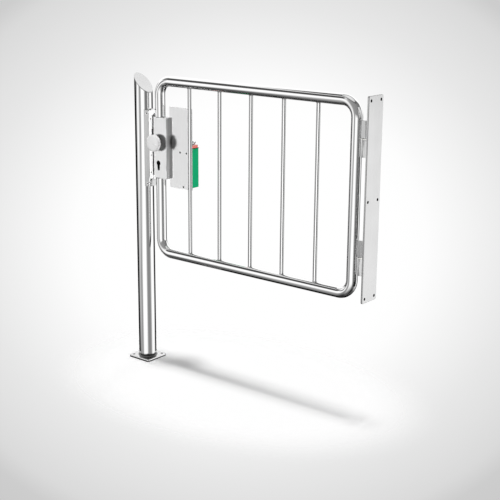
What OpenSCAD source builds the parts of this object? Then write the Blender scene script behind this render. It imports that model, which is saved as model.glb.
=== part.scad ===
// Swing gate for a railing: a floor post with its strike, a tubular leaf on two
// lift-off hinges and the plate that fastens the hinges to a wall or column.
// Millimetres, +Z up. The origin is under the post, on the floor. The leaf runs
// along +X from the post to the wall, and its outside faces -Y.

/* [Post] */
// Outside diameter of the post tube
post_d = 60.3; // [48.3:0.1:76.1]
// Wall of the post tube
post_wall = 2; // [1.5:0.1:4]
// Height of the post's highest edge above the floor
post_h = 983; // [900:1:1250]
// Slope of the mitred top, which falls towards the leaf
post_mitre = 45; // [15:1:50]
// Thickness of the plate that closes the mitred top
post_cap_t = 2; // [1:0.1:4]

/* [Base plate] */
// Side of the square base plate
base_w = 92; // [86:1:160]
// Thickness of the base plate
base_t = 8; // [5:0.5:15]
// Radius of the base plate's corners
base_corner_r = 7; // [2:0.5:12]
// Distance from the plate's edge to the centres of its bolt holes
base_hole_edge = 12; // [10:0.5:20]
// Diameter of the base plate's bolt holes
base_hole_d = 9; // [7:0.5:12]

/* [Leaf] */
// Outside width of the leaf frame
leaf_w = 801.5; // [650:0.5:1100]
// Outside height of the leaf frame
leaf_h = 606; // [500:1:900]
// Height of the leaf's underside above the floor
leaf_bottom = 375.4; // [60:0.1:450]
// Space between the post and the leaf
post_gap = 27.4; // [22:0.1:45]
// Outside diameter of the frame tube
frame_d = 33.7; // [26.9:0.1:42.4]
// Wall of the frame tube
frame_wall = 2; // [1.5:0.1:3]
// Radius of the frame's bends, on the tube's centre line
frame_bend_r = 46; // [36:0.5:90]
// Diameter of the upright bars
bar_d = 12; // [8:0.5:16]
// Distance between the centres of neighbouring bars
bar_pitch = 126; // [90:0.5:128]
// Distance from the centre of the lock stile to the centre of the first bar
first_bar = 129; // [110:0.5:150]

/* [Lock] */
// Width of the lock case, along the leaf
case_w = 56.5; // [50:0.5:80]
// Depth of the lock case, through the leaf
case_d = 32; // [28:0.5:50]
// Height of the lock case
case_h = 201; // [170:1:260]
// Height of the lock case's underside above the floor
case_bottom = 645; // [600:1:700]
// Wall of the lock case
case_wall = 2; // [1.5:0.1:4]
// Bevel along the lock case's edges
case_bevel = 1.5; // [0.5:0.1:1.8]
// Distance from the case's outer edge to the spindle and the keyhole
backset = 21.5; // [18:0.5:30]
// Height of the spindle above the case's underside
spindle_rise = 119.5; // [100:0.5:140]
// Distance from the spindle down to the round part of the keyhole
keyhole_drop = 69; // [60:0.5:92]
// Diameter of the fixed outside knob
knob_d = 55; // [40:0.5:65]
// Distance that the knob stands off the case
knob_reach = 30; // [25:0.5:60]

/* [Lever] */
// Diameter of the lever's bar
lever_d = 16; // [14:0.5:20]
// Distance from the spindle to the returned end of the lever
lever_len = 100; // [90:1:130]
// Distance from the case to the centre line of the lever's bar
lever_reach = 39; // [34:0.5:60]
// Upward tilt of the resting lever
lever_tilt = 2; // [0:0.5:4]

/* [Door guard] */
// Width of the mounting plate, along the leaf
plate_w = 98; // [90:0.5:115]
// Height of the mounting plate
plate_h = 266; // [240:1:320]
// Thickness of the mounting plate
plate_t = 3; // [2:0.5:5]
// Height of the mounting plate's lower edge above the floor
plate_bottom = 614; // [560:1:620]
// Overlap of the mounting plate on the back of the lock case
plate_lap = 14.5; // [12:0.5:30]
// Width of the guard's housing
guard_w = 46; // [44:0.5:60]
// Depth of the guard's housing
guard_d = 47; // [44:0.5:60]
// Height of the guard's housing, without its cap
guard_h = 130; // [100:1:132]
// Height of the guard's cap
guard_cap_h = 10; // [8:0.5:14]

/* [Hinges and wall plate] */
// Outside diameter of the round knuckles on the wall plate
knuckle_d = 12; // [12:0.5:18]
// Width of the square knuckles on the leaf
block_w = 14; // [13:0.5:18]
// Height of one hinge knuckle
knuckle_h = 52; // [40:0.5:70]
// Diameter of the hinge pins
pin_d = 8; // [6:0.5:9]
// Distance from the frame tube's surface to the hinge axis
hinge_offset = 9.5; // [9:0.5:14]
// Distance from the hinge axis to the wall plate
hinge_to_wall = 29.9; // [26:0.1:45]
// Distance from the leaf's upper and lower edges to the middle of a hinge
hinge_inset = 128.5; // [120:0.5:180]
// Width of the wall plate
wall_plate_w = 72; // [60:1:120]
// Height of the wall plate
wall_plate_h = 600; // [540:1:900]
// Thickness of the wall plate
wall_plate_t = 6; // [4:0.5:10]
// Distance between the two columns of wall plate holes
wall_hole_w = 50; // [36:1:80]
// Distance from the wall plate's ends to its outer holes
wall_hole_end = 13; // [10:0.5:30]
// Diameter of the wall plate's holes
wall_hole_d = 9; // [6:0.5:12]

/* [Strike] */
// Distance from the post's surface to the strike's face
strike_depth = 14; // [12:0.5:16]
// Sheet thickness of the strike channel
strike_t = 3; // [2:0.5:4]
// Height of the strike channel above the lock case's top
strike_rise = 20; // [16:0.5:30]
// Height of the saddle blocks that carry the strike
saddle_h = 20; // [16:0.5:24]
// Thickness of the stop buffers
buffer_t = 2.7; // [2:0.1:4]

/* [Hidden] */
$fn = 48;

STEEL = [0.80, 0.81, 0.82];
LIGHT_STEEL = [0.88, 0.88, 0.89];
DARK = [0.20, 0.20, 0.21];

cut = 1;                 // how far a cut runs past the surface that it opens
seat_gap = 0.3;          // space left where a moving piece rests on a fixed one
slide_gap = 0.5;         // space round the guard where it slides
pin_play = 0.08;         // radial clearance of a pin that turns
pin_seat = 0.02;         // radial clearance of a pin that is driven in

post_r = post_d / 2;
frame_r = frame_d / 2;

// The leaf: centre lines of its frame
leaf_x = post_r + post_gap;
stile_x = leaf_x + frame_r;
hinge_stile_x = leaf_x + leaf_w - frame_r;
rail_low_z = leaf_bottom + frame_r;
rail_high_z = leaf_bottom + leaf_h - frame_r;
bend_x = [stile_x + frame_bend_r, hinge_stile_x - frame_bend_r];
bend_z = [rail_low_z + frame_bend_r, rail_high_z - frame_bend_r];

// The lock: its case hangs between the two ends of the frame tube
case_top = case_bottom + case_h;
case_back_y = case_d / 2;
spindle_x = leaf_x + backset;
spindle_z = case_bottom + spindle_rise;
keyhole_z = spindle_z - keyhole_drop;
keyhole_r = 8.5;
keyhole_slot_w = 10;
keyhole_h = 33;
body_d = 16;             // depth of the lock's works
body_margin = 16;        // works to the case's ends
body_bottom = case_bottom + body_margin;
body_h = case_h - 2 * body_margin;
forend_w = 24;
forend_t = 3;
forend_past = 11;        // how far the forend runs past the works at each end
forend_screw_d = 4;
spindle_d = 9;
spindle_end_y = -4;
latch_h = 25;
latch_w = 12;
latch_reach = 7;
latch_z = spindle_z + 22;

// The lever's return keeps its end off the mounting plate
lever_bend_r = 18;
lever_tip_y = case_back_y + 11;
rose_d = 38;
rose_t = 8;
lever_neck_d = 20;

// The guard and the plate that carries it
plate_x = leaf_x + case_w - plate_lap;
plate_back_y = case_back_y + plate_t;
guard_x = plate_x + plate_w / 2 + 11.2;
guard_top = spindle_z - lever_d / 2 + 1;
guard_z = guard_top - guard_cap_h - guard_h;
guard_edge_r = 3;
cap_inset = 1.5;
rail_w = 38;
rail_t = 3;
rail_undercut = 1.5;
guard_face_y = plate_back_y + slide_gap + guard_d;
guard_lock_z = guard_z + guard_h - 30;
guard_lock_depth = 25;
guard_lock_proud = 1.5;
rail_bottom = plate_bottom + 1;
rail_top = guard_top - 22;
guard_screw_d = 4.5;
guard_screw_x = 13.8;
guard_screw_z = [plate_bottom + 7, rail_top - 1.5];

// The hinges
hinge_x = leaf_x + leaf_w + hinge_offset;
hinge_z = [leaf_bottom + hinge_inset + 7, leaf_bottom + leaf_h - hinge_inset + 7];
washer_t = 1.6;
pin_engage = 38;
tail_t = 8;
wall_tail_t = 10;
block_bevel = 0.8;

// The wall plate
wall_plate_x = hinge_x + hinge_to_wall;
wall_plate_z = leaf_bottom + leaf_h / 2 - wall_plate_h / 2 + 6.6;
wall_hole_z = [wall_hole_end, wall_plate_h / 2, wall_plate_h - wall_hole_end];

// The strike: its back leg reaches behind the lock case, with room for the buffers
strike_w = case_d + 2 * (seat_gap + buffer_t + strike_t);
strike_x = post_r + strike_depth;
strike_top = case_top + strike_rise;
strike_bottom = case_bottom - 5;
tab_bottom = strike_bottom - saddle_h - 8;
strike_screw_x = post_r + 4.5;
strike_screw_d = 5;
strike_screw_depth = 12;
contact_hole_d = 4.5;    // holes in the strike's face, for a door contact
contact_hole_y = strike_w / 2 - 8;
contact_hole_z = [case_bottom + 15, case_bottom + 72, case_top - 8];
stop_lap = 8;            // how far the stop tabs reach behind the lock case
stop_tab_h = 42;
stop_z = [case_bottom + 12, case_top - stop_tab_h - 6];
latch_window_w = 20;
latch_window_h = 36;

// ---- shared shapes ----

// A rectangle with round corners, centred
module rounded_rect(w, h, r) {
    square([w - 2 * r, h], center = true);
    square([w, h - 2 * r], center = true);
    for (x = [-1, 1], y = [-1, 1])
        translate([x * (w / 2 - r), y * (h / 2 - r)]) circle(r);
}

// A rectangle with bevelled corners, centred
module bevelled_rect(w, h, c) {
    x = w / 2;
    y = h / 2;
    polygon([[c - x, -y], [x - c, -y], [x, c - y], [x, y - c],
        [x - c, y], [c - x, y], [-x, y - c], [-x, c - y]]);
}

// A block with all its edges bevelled, centred
module bevelled_block(size, c) {
    intersection() {
        translate([0, 0, -size[2] / 2]) linear_extrude(size[2]) bevelled_rect(size[0], size[1], c);
        translate([0, size[1] / 2, 0]) rotate([90, 0, 0])
            linear_extrude(size[1]) bevelled_rect(size[0], size[2], c);
        translate([-size[0] / 2, 0, 0]) rotate([90, 0, 90])
            linear_extrude(size[0]) bevelled_rect(size[1], size[2], c);
    }
}

// A screw hole down from the origin, with a countersink twice as wide
module countersunk(d, depth) {
    translate([0, 0, -depth]) cylinder(d = d, h = depth + cut);
    translate([0, 0, -d / 2]) cylinder(d1 = d, d2 = 2 * (d + cut), h = d / 2 + cut);
}

// The half-space above the post's mitre, moved down by a depth square to it
module above_mitre(depth) {
    translate([-post_r, 0, post_h]) rotate([0, post_mitre, 0])
        translate([-post_d, -post_d, -depth]) cube([4 * post_d, 2 * post_d, 3 * post_d]);
}

// An upright round rod through the frame's lower or upper rail
module rail_rod(z) {
    translate([leaf_x, 0, z]) rotate([0, 90, 0]) cylinder(d = frame_d, h = leaf_w);
}

// One bend of the frame, from the angle at which it starts
module frame_bend(x, z, start, d) {
    translate([x, 0, z]) rotate([90, 0, 0]) rotate([0, 0, start])
        rotate_extrude(angle = 90) translate([frame_bend_r, 0]) circle(d = d);
}

// The frame as a solid rod: up from the lock case, round the leaf and back to it
module frame_rod(d, past) {
    run_x = bend_x[1] - bend_x[0];
    run_z = bend_z[1] - bend_z[0];
    translate([stile_x, 0, case_top - past]) cylinder(d = d, h = bend_z[1] - case_top + past);
    translate([stile_x, 0, bend_z[0]]) cylinder(d = d, h = case_bottom - bend_z[0] + past);
    translate([hinge_stile_x, 0, bend_z[0]]) cylinder(d = d, h = run_z);
    for (z = [rail_low_z, rail_high_z])
        translate([bend_x[0], 0, z]) rotate([0, 90, 0]) cylinder(d = d, h = run_x);
    frame_bend(bend_x[1], bend_z[1], 0, d);
    frame_bend(bend_x[0], bend_z[1], 90, d);
    frame_bend(bend_x[0], bend_z[0], 180, d);
    frame_bend(bend_x[1], bend_z[0], 270, d);
}

// Outline of a key cylinder: a round head over a slot with a round foot
module cylinder_outline(grow) {
    foot = keyhole_r - keyhole_h + keyhole_slot_w / 2;
    circle(keyhole_r + grow);
    translate([0, foot]) circle(keyhole_slot_w / 2 + grow);
    translate([-keyhole_slot_w / 2 - grow, foot]) square([keyhole_slot_w + 2 * grow, -foot]);
}

// The keyhole, all through the lock
module keyhole() {
    translate([spindle_x, case_d, keyhole_z]) rotate([90, 0, 0])
        linear_extrude(2 * case_d) cylinder_outline(0);
}

// The dovetail that the guard slides on, or its groove when it is grown
module dovetail(grow) {
    half = rail_w / 2 + grow;
    polygon([[rail_undercut - half, -grow], [half - rail_undercut, -grow],
        [half, rail_t + grow], [-half, rail_t + grow]]);
}

// ---- post ----

module base_plate() {
    hole = base_w / 2 - base_hole_edge;
    color(STEEL) difference() {
        linear_extrude(base_t) rounded_rect(base_w, base_w, base_corner_r);
        for (x = [-hole, hole], y = [-hole, hole])
            translate([x, y, -cut]) cylinder(d = base_hole_d, h = base_t + 2 * cut);
    }
}

module post_tube() {
    color(STEEL) difference() {
        translate([0, 0, base_t]) cylinder(d = post_d, h = post_h - base_t);
        translate([0, 0, base_t - cut]) cylinder(d = post_d - 2 * post_wall, h = post_h);
        above_mitre(post_cap_t);
    }
}

module post_cap() {
    color(LIGHT_STEEL) difference() {
        intersection() {
            translate([0, 0, base_t]) cylinder(d = post_d, h = post_h - base_t);
            above_mitre(post_cap_t);
        }
        above_mitre(0);
    }
}

// ---- strike ----

// Channel of bent sheet on the post, with tabs at the back that stop the leaf
module strike_channel() {
    half = strike_w / 2;
    color(STEEL) difference() {
        union() {
            translate([0, -half, strike_bottom]) cube([strike_x, strike_w, strike_top - strike_bottom]);
            translate([0, -half, tab_bottom])
                cube([strike_x - strike_t, strike_t, strike_bottom - tab_bottom]);
            for (z = stop_z)
                translate([0, half - strike_t, z]) cube([leaf_x + stop_lap, strike_t, stop_tab_h]);
        }
        translate([0, strike_t - half, tab_bottom - cut])
            cube([strike_x - strike_t, strike_w - 2 * strike_t, strike_top - tab_bottom + 2 * cut]);
        translate([0, 0, tab_bottom - cut]) cylinder(d = post_d, h = strike_top - tab_bottom + 2 * cut);
        translate([0, -latch_window_w / 2, latch_z - latch_window_h / 2])
            cube([strike_x + cut, latch_window_w, latch_window_h]);
        strike_screw(-1, tab_bottom);
        for (side = [-1, 1]) strike_screw(side, strike_top - saddle_h);
        for (y = [-contact_hole_y, contact_hole_y], z = contact_hole_z)
            translate([strike_x - strike_t - cut, y, z]) rotate([0, 90, 0])
                cylinder(d = contact_hole_d, h = strike_t + 2 * cut);
    }
}

// Hole for the screw between a leg of the strike and the saddle that starts at z
module strike_screw(side, z) {
    translate([strike_screw_x, side * strike_w / 2, z + saddle_h / 2]) rotate([-90 * side, 0, 0])
        countersunk(strike_screw_d, strike_screw_depth);
}

// Block that carries one end of the strike, hollowed to sit on the post
module strike_saddle(z) {
    inner = strike_w - 2 * strike_t;
    color(STEEL) difference() {
        translate([0, -inner / 2, z]) cube([strike_x - strike_t, inner, saddle_h]);
        translate([0, 0, z - cut]) cylinder(d = post_d, h = saddle_h + 2 * cut);
        for (side = [-1, 1]) strike_screw(side, z);
    }
}

// Rubber pad between a stop tab and the back of the lock case
module stop_buffer(z) {
    pad_w = stop_lap - 2;
    color(DARK) translate([leaf_x + stop_lap - pad_w, strike_w / 2 - strike_t - buffer_t, z + 3])
        cube([pad_w, buffer_t, stop_tab_h - 6]);
}

// ---- wall plate and hinges ----

module wall_plate() {
    corner_r = 4;
    color(LIGHT_STEEL) difference() {
        translate([wall_plate_x, 0, wall_plate_z + wall_plate_h / 2]) rotate([90, 0, 90])
            linear_extrude(wall_plate_t) rounded_rect(wall_plate_w, wall_plate_h, corner_r);
        for (y = [-wall_hole_w / 2, wall_hole_w / 2], z = wall_hole_z)
            translate([wall_plate_x - cut, y, wall_plate_z + z]) rotate([0, 90, 0])
                cylinder(d = wall_hole_d, h = wall_plate_t + 2 * cut);
    }
}

// Lower half of a hinge: a knuckle under the washer, with a tail to the wall plate
module wall_knuckle(z) {
    top = z - washer_t;
    color(STEEL) difference() {
        union() {
            translate([hinge_x, 0, top - knuckle_h]) cylinder(d = knuckle_d, h = knuckle_h);
            translate([hinge_x, -wall_tail_t / 2, top - knuckle_h])
                cube([hinge_to_wall, wall_tail_t, knuckle_h]);
        }
        translate([hinge_x, 0, top - pin_engage]) cylinder(r = pin_d / 2 + pin_seat, h = pin_engage + cut);
    }
}

module hinge_pin(z) {
    color(STEEL) translate([hinge_x, 0, z - washer_t - pin_engage])
        cylinder(d = pin_d, h = 2 * pin_engage + washer_t);
}

module hinge_washer(z) {
    color("lightgray") translate([hinge_x, 0, z - washer_t]) difference() {
        cylinder(d = knuckle_d, h = washer_t);
        translate([0, 0, -cut]) cylinder(r = pin_d / 2 + pin_play, h = washer_t + 2 * cut);
    }
}

// Upper half of a hinge: a square knuckle on the pin, with a tail coped to the stile
module leaf_knuckle(z) {
    foot = z + seat_gap;
    color(STEEL) difference() {
        union() {
            translate([hinge_x, 0, foot + knuckle_h / 2])
                bevelled_block([block_w, knuckle_d, knuckle_h], block_bevel);
            translate([hinge_stile_x, -tail_t / 2, foot]) cube([hinge_x - hinge_stile_x, tail_t, knuckle_h]);
        }
        translate([hinge_stile_x, 0, foot - cut]) cylinder(d = frame_d, h = knuckle_h + 2 * cut);
        translate([hinge_x, 0, foot - cut]) cylinder(r = pin_d / 2 + pin_play, h = pin_engage + 2 + cut);
    }
}

// ---- leaf ----

// One tube with four bends, whose ends butt on the lock case
module frame_tube() {
    color(STEEL) difference() {
        frame_rod(frame_d, 0);
        frame_rod(frame_d - 2 * frame_wall, cut);
    }
}

// Upright bar, coped at both ends to sit on the rails
module bar(number) {
    color(STEEL) difference() {
        translate([stile_x + first_bar + (number - 1) * bar_pitch, 0, rail_low_z])
            cylinder(d = bar_d, h = rail_high_z - rail_low_z);
        rail_rod(rail_low_z);
        rail_rod(rail_high_z);
    }
}

// ---- lock ----

module lock_case() {
    inner = [case_w - 2 * case_wall, case_d - 2 * case_wall, case_h - 2 * case_wall];
    color(LIGHT_STEEL) difference() {
        translate([leaf_x + case_w / 2, 0, case_bottom + case_h / 2])
            bevelled_block([case_w, case_d, case_h], case_bevel);
        translate([leaf_x + case_wall, -inner[1] / 2, case_bottom + case_wall]) cube(inner);
        translate([leaf_x - cut, -body_d / 2 - seat_gap, body_bottom - seat_gap])
            cube([case_wall + 2 * cut, body_d + 2 * seat_gap, body_h + 2 * seat_gap]);
        forend_screws();
        keyhole();
        translate([spindle_x, 0, spindle_z]) rotate([-90, 0, 0])
            cylinder(d = spindle_d + 3, h = case_d);
    }
}

// The lock's works, slipped into the case through its outer edge
module lock_body() {
    color(DARK) difference() {
        translate([leaf_x, -body_d / 2, body_bottom]) cube([case_w - 2 * case_wall - cut, body_d, body_h]);
        keyhole();
        translate([spindle_x, spindle_end_y - cut, spindle_z]) rotate([-90, 0, 0])
            cylinder(r = spindle_d / 2 + pin_play, h = body_d);
    }
}

// Face plate of the lock, screwed on the case's outer edge
module lock_forend() {
    forend_h = body_h + 2 * forend_past;
    corner_r = 3;
    color(STEEL) difference() {
        translate([leaf_x - forend_t, 0, body_bottom + body_h / 2]) rotate([90, 0, 90])
            linear_extrude(forend_t) rounded_rect(forend_w, forend_h, corner_r);
        translate([leaf_x - forend_t - cut, -latch_w / 2 - seat_gap, latch_z - latch_h / 2 - seat_gap])
            cube([forend_t + 2 * cut, latch_w + 2 * seat_gap, latch_h + 2 * seat_gap]);
        forend_screws();
    }
}

// Holes for the two screws that hold the lock in its case
module forend_screws() {
    past = forend_past / 2;
    for (z = [body_bottom - past, body_bottom + body_h + past])
        translate([leaf_x - forend_t, 0, z]) rotate([0, -90, 0])
            countersunk(forend_screw_d, forend_t + case_wall + cut);
}

// Latch, drawn back so that its bevelled nose stays clear of the strike
module latch_bolt() {
    nose = leaf_x - latch_reach;
    color(STEEL) translate([0, 0, latch_z - latch_h / 2]) linear_extrude(latch_h)
        polygon([[leaf_x, -latch_w / 2], [leaf_x, latch_w / 2], [leaf_x - forend_t, latch_w / 2],
            [nose, -latch_w / 2 + 3], [nose, -latch_w / 2]]);
}

// Fixed knob: a disc with a rounded rim on a waisted neck
module knob() {
    rim_r = 5;
    disc_t = 13;
    neck_r = 11;
    foot_r = 14;
    foot_t = 3;
    rim_x = knob_d / 2 - rim_r;
    color(LIGHT_STEEL) translate([spindle_x, -case_d / 2, spindle_z]) rotate([90, 0, 0])
        rotate_extrude() {
            square([foot_r, foot_t]);
            square([neck_r, knob_reach - disc_t + cut]);
            translate([0, knob_reach - disc_t]) square([rim_x, disc_t]);
            translate([0, knob_reach - disc_t + rim_r]) square([knob_d / 2, disc_t - 2 * rim_r]);
            for (z = [knob_reach - rim_r, knob_reach - disc_t + rim_r])
                translate([rim_x, z]) circle(rim_r);
        }
}

// ---- mounting plate, lever and door guard ----

module guard_plate() {
    corner_r = 3;
    color(LIGHT_STEEL) difference() {
        translate([plate_x + plate_w / 2, plate_back_y, plate_bottom + plate_h / 2]) rotate([90, 0, 0])
            linear_extrude(plate_t) rounded_rect(plate_w, plate_h, corner_r);
        guard_screws();
    }
}

// Holes for the three screws that hold the guard's rail
module guard_screws() {
    for (at = [[0, guard_screw_z[0]], [-guard_screw_x, guard_screw_z[1]], [guard_screw_x, guard_screw_z[1]]])
        translate([guard_x + at[0], case_back_y, at[1]]) rotate([90, 0, 0])
            countersunk(guard_screw_d, plate_t + rail_t + cut);
}

module guard_rail() {
    color(DARK) difference() {
        translate([guard_x, plate_back_y, rail_bottom]) linear_extrude(rail_top - rail_bottom) dovetail(0);
        guard_screws();
    }
}

// Housing that the lever pushes down its rail, with slots over the sounder
module guard_housing() {
    slots = 5;
    slot = [20, 3, 1.6];
    slot_pitch = 4;
    color("mediumseagreen") difference() {
        guard_block(guard_z, guard_h, 0);
        guard_lock(guard_lock_depth + cut, cut, pin_play);
        for (i = [0 : slots - 1])
            translate([guard_x - slot[0] / 2, guard_face_y - slot[1], guard_z + 14 + i * slot_pitch])
                cube([slot[0], slot[1] + cut, slot[2]]);
    }
}

// Key cylinder that frees the guard, with its key slot
module guard_cylinder() {
    plug_d = 13;
    ring = [1, 1];
    key_slot = [1.6, 8];
    color(STEEL) difference() {
        guard_lock(guard_lock_depth + guard_lock_proud, guard_lock_proud, 0);
        translate([guard_x, guard_face_y + guard_lock_proud - ring[1], guard_lock_z]) rotate([-90, 0, 0])
            difference() {
                cylinder(d = plug_d, h = ring[1] + cut);
                translate([0, 0, -cut]) cylinder(d = plug_d - ring[0], h = ring[1] + 3 * cut);
            }
        translate([guard_x - key_slot[0] / 2, guard_face_y - 10, guard_lock_z - key_slot[1] / 2])
            cube([key_slot[0], 10 + guard_lock_proud + cut, key_slot[1]]);
    }
}

// A key cylinder's outline in the guard's face, run back from a point proud of it
module guard_lock(depth, proud, grow) {
    translate([guard_x, guard_face_y + proud, guard_lock_z]) rotate([90, 0, 0])
        linear_extrude(depth) cylinder_outline(grow);
}

module guard_cap() {
    color("indianred") guard_block(guard_z + guard_h, guard_cap_h, cap_inset);
}

// A slice of the guard, grooved for the rail
module guard_block(z, h, inset) {
    depth = guard_d - inset;
    translate([guard_x, plate_back_y, z]) difference() {
        translate([0, slide_gap + depth / 2, 0])
            linear_extrude(h) rounded_rect(guard_w - 2 * inset, depth, guard_edge_r);
        translate([0, 0, -cut]) linear_extrude(h + 2 * cut) dovetail(slide_gap);
    }
}

module lever_rose() {
    color(STEEL) translate([spindle_x, case_back_y, spindle_z]) rotate([-90, 0, 0]) difference() {
        cylinder(d = rose_d, h = rose_t);
        translate([0, 0, -cut]) cylinder(r = lever_neck_d / 2 + pin_play, h = rose_t + 2 * cut);
    }
}

// Bent bar on a spindle: out from the lock, along the leaf and back towards the plate
module lever_handle() {
    reach_y = case_back_y + lever_reach;
    bend_y = reach_y - lever_bend_r;
    color(STEEL) translate([spindle_x, 0, spindle_z]) rotate([0, -lever_tilt, 0]) {
        translate([0, spindle_end_y, 0]) rotate([-90, 0, 0])
            cylinder(d = spindle_d, h = case_back_y + rose_t - spindle_end_y);
        translate([0, case_back_y + seat_gap, 0]) rotate([-90, 0, 0]) {
            cylinder(d = lever_neck_d, h = rose_t + 4);
            cylinder(d = lever_d, h = bend_y - case_back_y - seat_gap);
        }
        translate([lever_bend_r, bend_y, 0]) rotate([0, 0, 90])
            rotate_extrude(angle = 90) translate([lever_bend_r, 0]) circle(d = lever_d);
        translate([lever_bend_r, reach_y, 0]) rotate([0, 90, 0])
            cylinder(d = lever_d, h = lever_len - 2 * lever_bend_r);
        translate([lever_len - lever_bend_r, bend_y, 0])
            rotate_extrude(angle = 90) translate([lever_bend_r, 0]) circle(d = lever_d);
        translate([lever_len, lever_tip_y + lever_d / 2, 0]) {
            rotate([-90, 0, 0]) cylinder(d = lever_d, h = bend_y - lever_tip_y - lever_d / 2);
            sphere(d = lever_d);
        }
    }
}

base_plate();
post_tube();
post_cap();
strike_channel();
strike_saddle(strike_top - saddle_h);  // strike_saddle_upper
strike_saddle(tab_bottom);  // strike_saddle_lower
stop_buffer(stop_z[1]);  // stop_buffer_upper
stop_buffer(stop_z[0]);  // stop_buffer_lower
wall_plate();
wall_knuckle(hinge_z[1]);  // wall_knuckle_upper
wall_knuckle(hinge_z[0]);  // wall_knuckle_lower
hinge_pin(hinge_z[1]);  // hinge_pin_upper
hinge_pin(hinge_z[0]);  // hinge_pin_lower
hinge_washer(hinge_z[1]);  // hinge_washer_upper
hinge_washer(hinge_z[0]);  // hinge_washer_lower
leaf_knuckle(hinge_z[1]);  // leaf_knuckle_upper
leaf_knuckle(hinge_z[0]);  // leaf_knuckle_lower
frame_tube();
bar(1);  // bar_1
bar(2);  // bar_2
bar(3);  // bar_3
bar(4);  // bar_4
bar(5);  // bar_5
lock_case();
lock_body();
lock_forend();
latch_bolt();
knob();
guard_plate();
guard_rail();
lever_rose();
lever_handle();
guard_housing();
guard_cap();
guard_cylinder();
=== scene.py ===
import math

import bmesh
import bpy
from mathutils import Euler, Matrix, Vector


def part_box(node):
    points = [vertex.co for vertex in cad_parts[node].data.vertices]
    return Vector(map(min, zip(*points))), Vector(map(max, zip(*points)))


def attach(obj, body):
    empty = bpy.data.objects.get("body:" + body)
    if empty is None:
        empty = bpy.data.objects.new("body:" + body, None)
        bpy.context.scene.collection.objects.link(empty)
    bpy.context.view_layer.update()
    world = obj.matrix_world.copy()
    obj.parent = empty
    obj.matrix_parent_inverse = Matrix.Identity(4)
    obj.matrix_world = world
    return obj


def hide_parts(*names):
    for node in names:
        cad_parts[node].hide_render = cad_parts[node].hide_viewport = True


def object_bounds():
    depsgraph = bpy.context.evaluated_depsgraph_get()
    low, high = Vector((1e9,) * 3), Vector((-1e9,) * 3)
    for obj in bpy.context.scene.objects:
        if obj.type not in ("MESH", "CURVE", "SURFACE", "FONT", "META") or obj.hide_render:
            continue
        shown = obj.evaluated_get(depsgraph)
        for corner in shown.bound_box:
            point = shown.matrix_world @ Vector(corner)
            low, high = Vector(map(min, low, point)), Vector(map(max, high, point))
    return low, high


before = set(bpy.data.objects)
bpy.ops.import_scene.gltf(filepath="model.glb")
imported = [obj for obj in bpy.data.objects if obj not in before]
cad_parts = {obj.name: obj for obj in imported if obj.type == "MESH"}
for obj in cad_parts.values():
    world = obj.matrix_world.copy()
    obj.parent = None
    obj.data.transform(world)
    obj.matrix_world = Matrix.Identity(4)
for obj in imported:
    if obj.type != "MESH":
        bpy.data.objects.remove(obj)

bl_info = {
    "name": "Railing gate",
    "version": (1, 0, 0),
    "blender": (4, 5, 0),
    "location": "3D View > Sidebar > Gate",
    "description": "Finishes a stainless steel railing gate: edges, weld beads, screws, lock and door guard",
    "category": "Object",
}

CAD_BOX = [list(corner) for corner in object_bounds()]
FIXED, LEAF, GUARD = "post_and_wall_plate", "leaf", "door_guard"
ENDS = ("upper", "lower")
MM = 0.001


# ---- fixed sizes of the gate, in metres ----

# Frame tube's radius, and the thickness of the hinges' tails at the wall plate and at the stile
TUBE_R = 0.01685
WALL_TAIL, STILE_TAIL = 0.010, 0.008
BARS = [f"bar_{number}" for number in range(1, 6)]

# Heights between which the painted shade ends, at the post's foot and low on the base plate's edge
POST_STAIN = (0.0115, 0.0185)
PLATE_STAIN = (0.0036, 0.0046)

# The strike's folds are its edges longer than this
FOLD_LENGTH = 0.1

# Hexagon socket screws: head, shank and socket across. Then how far in from an edge, or to each side,
# they sit
STRIKE_SCREW, STRIKE_SCREW_IN = (0.0096, 0.0049, 0.0064), 0.0045
FOREND_SCREW, FOREND_SCREW_IN = (0.0076, 0.0039, 0.0030), 0.0055
GUARD_SCREW = (0.0086, 0.0044, 0.0070)
GUARD_SCREW_LOW, GUARD_SCREW_HIGH, GUARD_SCREW_SIDE = 0.0070, 0.0015, 0.0138
# The socket's depth as a share of its width, and its width at the bottom as a share of that at the top
SOCKET_DEPTH, SOCKET_TAPER = 0.18, 0.96

# Knob: depth of its disc, radius of the rim, how far the face has fallen where the rim starts, and how
# far forward round the disc's back edge its black back comes, which is painted shade
KNOB_DISC, KNOB_RIM, KNOB_FALL, KNOB_MOULDING = 0.0165, 0.004, 0.0006, 0.0048
# Its domed face, as shares of the radius and how far they have fallen, and the share of the radius at
# which the disc's back ends
KNOB_DOME, KNOB_BACK = [(0.0, 0.0), (0.4, 0.0001), (0.7, 0.0003)], 0.45
# Its bush, as radii and how far before the lock case they stand
KNOB_BUSH = [(0.0108, 0.0120), (0.0108, 0.0040), (0.0118, 0.0030), (0.0140, 0.0024), (0.0140, 0.0)]

# The weld beads at hinges and lock case are this share of those at the bars
THIN_BEAD = 0.7

# Gasket: height, how far it stands proud, and its gap to the rail
GASKET_HIGH, GASKET_PROUD, GASKET_GAP = 0.0022, 0.0003, 0.0008

# Angles between faces, in radians: within one round surface they are between FLAT and FACET, and at a
# corner more than CORNER
FLAT, FACET, CORNER = 0.01, 0.6, 0.7
# A face looks along an axis when its normal's share there is above this, and on the lock case above the
# second one, because its corners are rounded
ALONG, CASE_ALONG = 0.5, 0.6
# Points nearer than this are one point, and heights nearer than this are one height
SAME_POINT, SAME_HEIGHT = 2e-6, 1e-4


# ---- stage ----

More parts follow.
